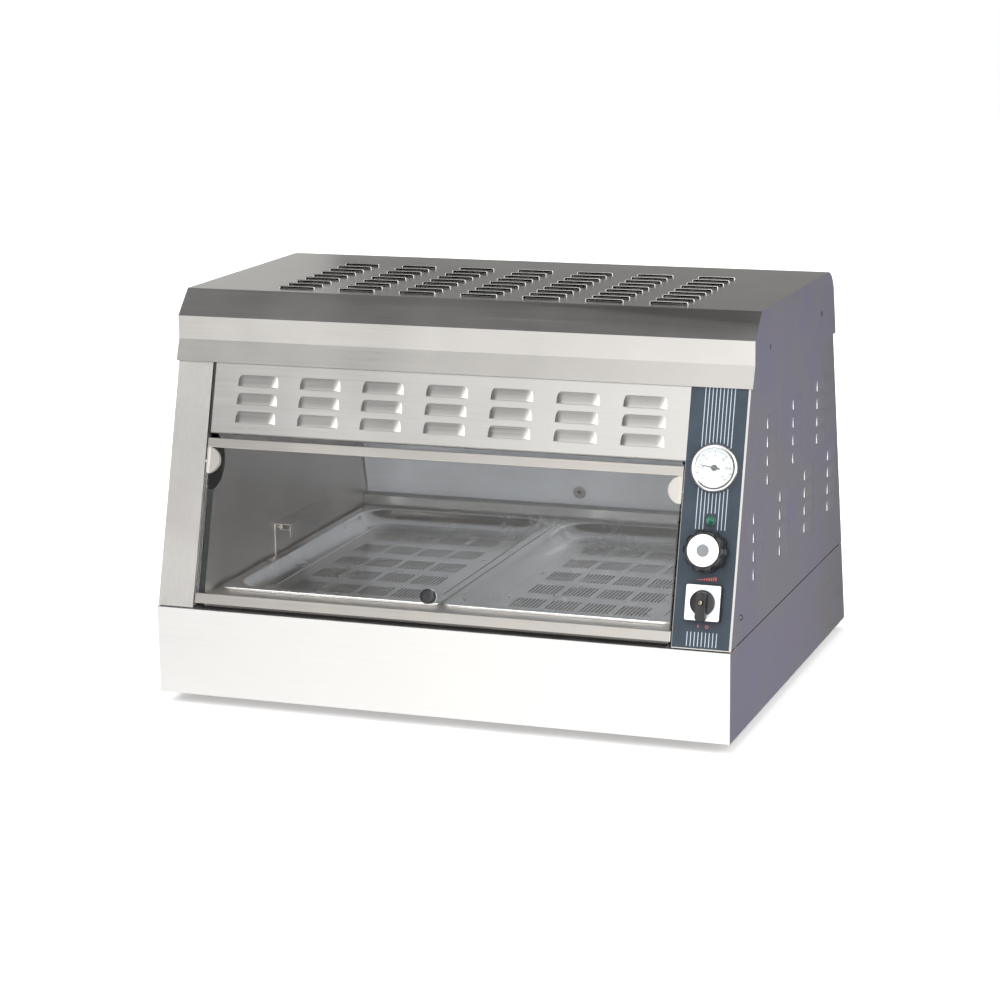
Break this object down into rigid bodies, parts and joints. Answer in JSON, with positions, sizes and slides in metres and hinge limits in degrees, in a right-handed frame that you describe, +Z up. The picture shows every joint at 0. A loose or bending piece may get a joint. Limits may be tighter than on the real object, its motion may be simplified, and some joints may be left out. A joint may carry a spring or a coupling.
{
  "type": "hot food display case",
  "caption": "Countertop heated food display case with sloping top-hinged glass front, rear flap door, lift-out perforated pans, louvred panels, slotted hood and side control column.",
  "frame": {"origin": "centre of the overall footprint on the counter, at the bottom of the feet", "axes": "+X to the right seen from the front, the glass front faces -Y, +Z up"},
  "size_m": [0.82, 0.6696, 0.5642],
  "materials": {
    "rubber": "matt",
    "base_steel": "satin",
    "inner_steel": "satin",
    "panel_steel": "satin",
    "hood_steel": "satin",
    "rail_steel": "satin",
    "pan_steel": "bright",
    "reflector": "polished",
    "fascia": "satin",
    "glass": "clear",
    "bright_metal": "polished",
    "black_plastic": "gloss",
    "white_plastic": "gloss",
    "white_enamel": "gloss",
    "dark_metal": "satin",
    "green_lens": "translucent",
    "copper": "bright",
    "quartz": "clear",
    "ceramic": "glazed ceramic",
    "element": "oxidised",
    "red_wire": "silicone"
  },
  "bodies": {
    "case": {"rubber_feet": "rubber", "base_shell": "base_steel", "base_floor": "inner_steel", "well_tray": "inner_steel", "pan_deck": "inner_steel", "left_side_panel": "panel_steel", "right_side_panel": "panel_steel", "left_liner": "inner_steel", "right_liner": "inner_steel", "ceiling_panel": "inner_steel", "rear_sill": "inner_steel", "rear_header": "panel_steel", "hood": "hood_steel", "louvre_panel": "panel_steel", "control_panel": "panel_steel", "fascia_overlay": "fascia", "probe_guard": "inner_steel", "heating_element": "element", "element_clips": "inner_steel", "lamp_reflectors": "reflector", "quartz_lamps": "quartz", "lamp_holders": "ceramic", "lamp_guard": "bright_metal", "thermometer_case": "dark_metal", "thermometer_bezel": "bright_metal", "thermometer_dial": "white_enamel", "thermometer_lens": "glass", "thermometer_probe": "copper", "pilot_lamp": "dark_metal", "pilot_lens": "green_lens", "thermostat_body": "dark_metal", "thermostat_probe": "copper", "switch_body": "dark_metal", "switch_plate": "white_plastic", "terminal_block": "ceramic", "cable_gland": "black_plastic", "lamp_wiring": "red_wire", "hood_screws": "bright_metal", "side_screws": "bright_metal", "foot_screws": "bright_metal"},
    "front_door": {"door_glass": "glass", "door_top_rail": "rail_steel", "door_bottom_rail": "rail_steel", "door_hinge_plates": "rail_steel", "door_pins": "bright_metal", "door_knob": "black_plastic", "door_knob_washer": "bright_metal"},
    "rear_door": {"rear_door_panel": "panel_steel", "rear_door_pins": "bright_metal", "rear_door_knob": "black_plastic", "rear_door_washer": "bright_metal"},
    "left_pan": {"left_pan": "pan_steel"},
    "right_pan": {"right_pan": "pan_steel"},
    "thermostat_knob": {"thermostat_knob": "black_plastic", "thermostat_disc": "white_plastic"},
    "switch_handle": {"switch_handle": "black_plastic", "switch_screw": "bright_metal"},
    "thermometer_needle": {"thermometer_needle": "black_plastic"}
  },
  "joints": [
    {"name": "front_door_hinge", "type": "hinge", "parent": "case", "child": "front_door", "pos_m": [0, -0.2649, 0.33215], "axis": [-1, 0, 0], "range_deg": [0, 80]},
    {"name": "rear_door_hinge", "type": "hinge", "parent": "case", "child": "rear_door", "pos_m": [0, 0.24898, 0.34434], "axis": [1, 0, 0], "range_deg": [0, 80]},
    {"name": "left_pan_lift", "type": "slide", "parent": "case", "child": "left_pan", "axis": [0, 0, 1], "range_m": [0, 0.024]},
    {"name": "right_pan_lift", "type": "slide", "parent": "case", "child": "right_pan", "axis": [0, 0, 1], "range_m": [0, 0.08]},
    {"name": "thermostat_turn", "type": "hinge", "parent": "case", "child": "thermostat_knob", "pos_m": [0.367, -0.29089, 0.26109], "axis": [0, 0.9616, -0.2743], "range_deg": [0, 270]},
    {"name": "switch_turn", "type": "hinge", "parent": "case", "child": "switch_handle", "pos_m": [0.367, -0.30913, 0.19714], "axis": [0, 0.9616, -0.2743], "range_deg": [0, 90]},
    {"name": "needle_turn", "type": "hinge", "parent": "case", "child": "thermometer_needle", "pos_m": [0.367, -0.26511, 0.36605], "axis": [0, 0.9616, -0.2743], "range_deg": [-54, 216]}
  ]
}
